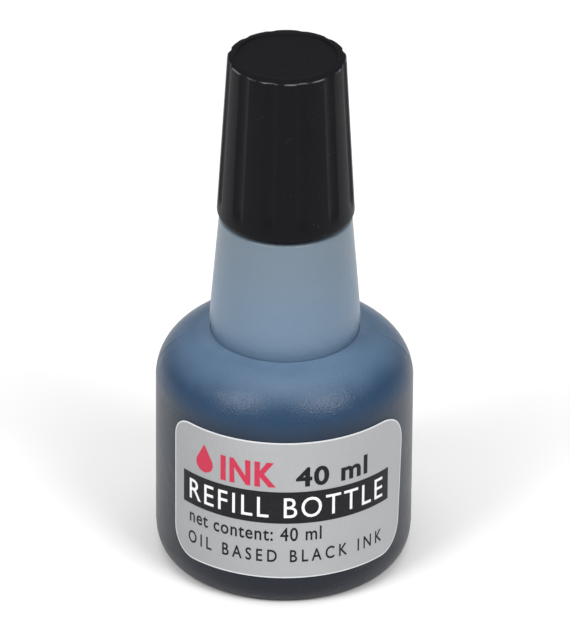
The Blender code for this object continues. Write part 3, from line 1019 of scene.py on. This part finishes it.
# %% [markdown]
# ## Finish: white backing
#
# The die cuts through film and backing together, and the pale cut edge of the backing shows all
# round the label. It is plain coated paper, so it is matt, nearly white and faintly fibrous.

# %% Finish: white backing
backing = Finish("white_backing", Roughness=0.5)
fibre = backing.noise(0.4 * MM, detail=3.0)
backing.set("Base Color", backing.mix(fibre, (0.54, 0.55, 0.57), (0.66, 0.67, 0.68)))
backing.bump(fibre, 0.01 * MM)
print("white backing has", len(backing.tree.nodes), "nodes")

# %% [markdown]
# ## Label sheet
#
# The whole outline is one flat face with four round corners. Insetting it leaves a narrow ring
# that takes the backing's finish, and so do the sides that appear when the sheet gets its
# thickness. Both materials sit on one piece, as on the real sheet.

# %% Label sheet
RIGHT_LEAN = 0.06  # the right edge leans out as it rises
LOW_CORNER = 4.5 * MM
TOP_LEFT_CORNER = 3.5 * MM
TOP_RIGHT_CORNER = 6.0 * MM
WHITE_EDGE = 0.20 * MM
FILM, BACKING = 0, 1  # material slots


def label_outline():
    """The flat label: distance round the body from the front, and height."""
    low, top = label_low.z, label_high.z
    corners = (
        (LABEL_FROM, low, 1, 1, LOW_CORNER, 180.0),
        (LABEL_TO, low, -1, 1, LOW_CORNER, 270.0),
        (LABEL_TO, top, -1, -1, TOP_RIGHT_CORNER, 0.0),
        (LABEL_FROM, top, 1, -1, TOP_LEFT_CORNER, 90.0),
    )
    outline = []
    for across, up, inwards, upwards, radius, start in corners:
        centre = (across + inwards * radius, up + upwards * radius)
        for place, rise in rounded(centre, radius, start, start + 90.0, 12):
            share = (place - LABEL_FROM) / (LABEL_TO - LABEL_FROM)
            outline.append((place + RIGHT_LEAN * share * (rise - (low + top) / 2), rise))
    return outline


def flat_shape(outline):
    """One flat face from its outline of (across, up) points."""
    bm = bmesh.new()
    bm.faces.new([bm.verts.new((across, 0.0, up)) for across, up in outline])
    return bm


label = flat_shape(label_outline())
label.faces.ensure_lookup_table()
sheet = label.faces[0]
sheet.normal_update()
bmesh.ops.inset_individual(label, faces=[sheet], thickness=WHITE_EDGE, use_even_offset=True)
for face in label.faces:
    face.material_index = FILM if face == sheet else BACKING
strips(label)
thickened(label, LABEL_THICKNESS)
for face in label.faces:
    if abs(face.normal.y) < 0.5:
        face.material_index = BACKING
roll(label, LABEL_RADIUS)
label_piece = put("label_sheet", label, "bottle", silver, ["front_label"])
label_piece.data.materials.append(backing.material)

# %% [markdown]
# ## Printing inks
#
# Screen ink lies on the film as a layer that can be felt. Its cover is slightly uneven, and here
# and there a pinhole lets the film through. One function makes all three inks, because they
# differ only in their colours and their gloss.

# %% Printing inks
PINHOLE_SHARE = 0.3  # how much of the film shows in a pinhole
FILM_GREY = 0.4


def screen_ink(name, lighter, darker, roughness):
    """Screen-printing ink: slightly uneven cover, and a soft gloss."""
    finish = Finish(name, IOR=1.5, Specular_IOR_Level=0.15)
    cover = finish.noise(0.5 * MM, detail=3.0)
    thin = finish.noise(0.16 * MM, detail=1.0).rises(0.66, 0.80)
    body = finish.mix(cover, darker, lighter)
    pinhole = tuple(part + (FILM_GREY - part) * PINHOLE_SHARE for part in lighter)
    finish.set("Base Color", finish.mix(thin * 0.5, body, pinhole))
    finish.set("Roughness", roughness + cover * 0.12)
    finish.bump(cover, 0.004 * MM)
    print(name, "is ready")
    return finish


red_ink = screen_ink("red_screen_ink", (0.52, 0.036, 0.078), (0.44, 0.026, 0.060), 0.34)
black_ink = screen_ink("black_screen_ink", (0.011, 0.011, 0.013), (0.006, 0.006, 0.008), 0.36)
white_ink = screen_ink("white_screen_ink", (0.80, 0.80, 0.81), (0.68, 0.69, 0.70), 0.40)

# %% [markdown]
# ## Letters
#
# Letters start as text in Blender's own font and turn into a mesh. Text offset would break
# narrow corners, so `embolden` moves the mesh's outline outwards instead, each point along the
# middle of its two edges. Then the words are stretched to the height and length they need.

# %% Letters
CAPITAL_HEIGHT = 0.682  # of the built-in font at size 1
LETTER_WELD = 0.0001  # of the same font
SHARPEST = 0.8  # keeps the points of sharp corners from shooting out


def embolden(bm, amount):
    """Moves the outline of flat letters outwards, so that every stroke gets bolder."""
    moves = []
    for vert in bm.verts:
        outwards = Vector()
        for edge in vert.link_edges:
            if edge.is_boundary:
                start, end = (corner.co for corner in edge.verts)
                side = Vector((end.y - start.y, start.x - end.x, 0.0)).normalized()
                inwards = edge.link_faces[0].calc_center_median() - start
                outwards += side if side.dot(inwards) < 0.0 else -side
        moves.append(outwards * 2.0 / max(outwards.length_squared, SHARPEST))
    for vert, move in zip(bm.verts, moves):
        vert.co += move * amount


def lettering(words, height, length, bold, spacing):
    """Flat letters in the XZ plane, centred on x = 0, standing on z = 0, of a height and length."""
    text = bpy.data.curves.new("lettering", "FONT")
    text.body = words
    text.size = 1.0
    text.space_character = spacing
    text.resolution_u = 4
    thing = bpy.data.objects.new("lettering", text)
    bpy.context.collection.objects.link(thing)
    bpy.context.view_layer.update()
    mesh = bpy.data.meshes.new_from_object(thing)
    bpy.data.objects.remove(thing)
    bpy.data.curves.remove(text)
    bm = bmesh.new()
    bm.from_mesh(mesh)
    bpy.data.meshes.remove(mesh)
    bmesh.ops.remove_doubles(bm, verts=bm.verts, dist=LETTER_WELD)
    embolden(bm, bold)
    left = min(vert.co.x for vert in bm.verts)
    right = max(vert.co.x for vert in bm.verts)
    scale = height / CAPITAL_HEIGHT
    for vert in bm.verts:
        across = ((vert.co.x - left) / (right - left) - 0.5) * length
        vert.co = Vector((across, 0.0, vert.co.y * scale))
    stretch = length / (right - left) / scale
    print(words, "drawn", round(stretch, 2), "times as wide as the font has it")
    return bm


print("capitals are", CAPITAL_HEIGHT, "of the font's size high")

# %% [markdown]
# ## Printed shapes
#
# Each printed shape is a real, thin solid on the film: laid flat at its place, cut into strips,
# thickened and rolled like the label. White words on a black band need two layers of ink, so
# they stand twice as high and cover the band.

# %% Printed shapes
PRINT_RADIUS = LABEL_RADIUS + LABEL_THICKNESS
PRINT_THICKNESS = 0.02 * MM


def printed(name, bm, across, up, layer, finish):
    """Prints a flat shape on the label: across is in degrees from the front, up in metres."""
    bmesh.ops.translate(bm, verts=bm.verts, vec=(radians(across) * BODY_RADIUS, 0.0, up))
    strips(bm)
    thickened(bm, PRINT_THICKNESS * layer)
    roll(bm, PRINT_RADIUS)
    put(name, bm, "bottle", finish)


print("a layer of ink is", round(PRINT_THICKNESS / MM, 3), "mm thick")

# %% [markdown]
# ## Top line of the label
#
# The top line has a drop of ink as its emblem, the word for what is inside in bold red, and the
# content. The drop is a circle whose sides run together in a blunt tip.

# %% Top line of the label
BASELINE_TOP = 21.75 * MM
TIP_HALF_WIDTH = 0.06  # of the drop's radius


def drop_outline(radius, tip):
    """An ink drop: a round belly and sides that close in a tip at the top."""
    belly = rounded((0.0, 0.0), radius, 152.0, 388.0, 24)
    return belly + [(TIP_HALF_WIDTH * radius, tip), (-TIP_HALF_WIDTH * radius, tip)]


drop = flat_shape(drop_outline(radius=1.6 * MM, tip=3.2 * MM))
word = lettering("INK", height=3.9 * MM, length=8.9 * MM, bold=0.045, spacing=1.15)
content = lettering("40 ml", height=3.1 * MM, length=12.0 * MM, bold=0.03, spacing=1.1)
printed("print_drop", drop, across=-37.5, up=23.4 * MM, layer=1, finish=red_ink)
printed("print_word", word, across=-16.2, up=BASELINE_TOP, layer=1, finish=red_ink)
printed("print_content", content, across=22.5, up=BASELINE_TOP, layer=1, finish=black_ink)

# %% [markdown]
# ## Black band and its words
#
# A solid band across the middle carries the product's kind in white capitals. It is a plain
# rectangle, and it ends short of the label's round corners on both sides.

# %% Black band and its words
BAND_FROM, BAND_TO = radians(-50.0) * BODY_RADIUS, radians(53.0) * BODY_RADIUS
BAND_LOW, BAND_TOP = 15.1 * MM, 20.7 * MM
BAND_BASELINE = 16.15 * MM
BAND_CORNERS = [
    (BAND_FROM, BAND_LOW),
    (BAND_TO, BAND_LOW),
    (BAND_TO, BAND_TOP),
    (BAND_FROM, BAND_TOP),
]

band = flat_shape(BAND_CORNERS)
words = lettering("REFILL BOTTLE", height=3.5 * MM, length=33.2 * MM, bold=0.002, spacing=1.18)
printed("print_band", band, across=0.0, up=0.0, layer=1, finish=black_ink)
printed("print_band_words", words, across=1.5, up=BAND_BASELINE, layer=2, finish=white_ink)

# %% [markdown]
# ## Small lines
#
# Two lines under the band say how much is inside and what it is. Small type is set in thin
# strokes with room between the letters, which keeps it legible on a shiny ground.

# %% Small lines
SMALL_BASELINE, LONG_BASELINE = 12.0 * MM, 8.2 * MM

small = lettering("net content: 40 ml", 2.3 * MM, length=22.0 * MM, bold=0.012, spacing=1.1)
long = lettering("OIL BASED BLACK INK", 2.1 * MM, length=33.4 * MM, bold=0.012, spacing=1.5)
printed("print_small_line", small, across=-14.5, up=SMALL_BASELINE, layer=1, finish=black_ink)
printed("print_long_line", long, across=1.0, up=LONG_BASELINE, layer=1, finish=black_ink)

# %% [markdown]
# ## Floor
#
# The bottle stands on a plain, pale, matt floor that is far wider than the view, so no horizon
# shows. Faint mottling keeps it from looking like a flat colour in the close views.

# %% Floor
floor_grid = bmesh.new()
bmesh.ops.create_grid(floor_grid, x_segments=1, y_segments=1, size=FLOOR_SIZE / 2)
pale_floor = Finish("pale_floor", Roughness=0.9, Specular_IOR_Level=0.1)
mottle = pale_floor.noise(30.0 * MM, detail=3.0)
pale_floor.set("Base Color", pale_floor.mix(mottle, (0.79, 0.79, 0.79), (0.81, 0.81, 0.81)))
floor_mesh = bpy.data.meshes.new("floor")
floor_grid.to_mesh(floor_mesh)
floor_grid.free()
floor_mesh.materials.append(pale_floor.material)
floor = bpy.data.objects.new("floor", floor_mesh)
bpy.context.collection.objects.link(floor)
print("floor", FLOOR_SIZE, "m wide")
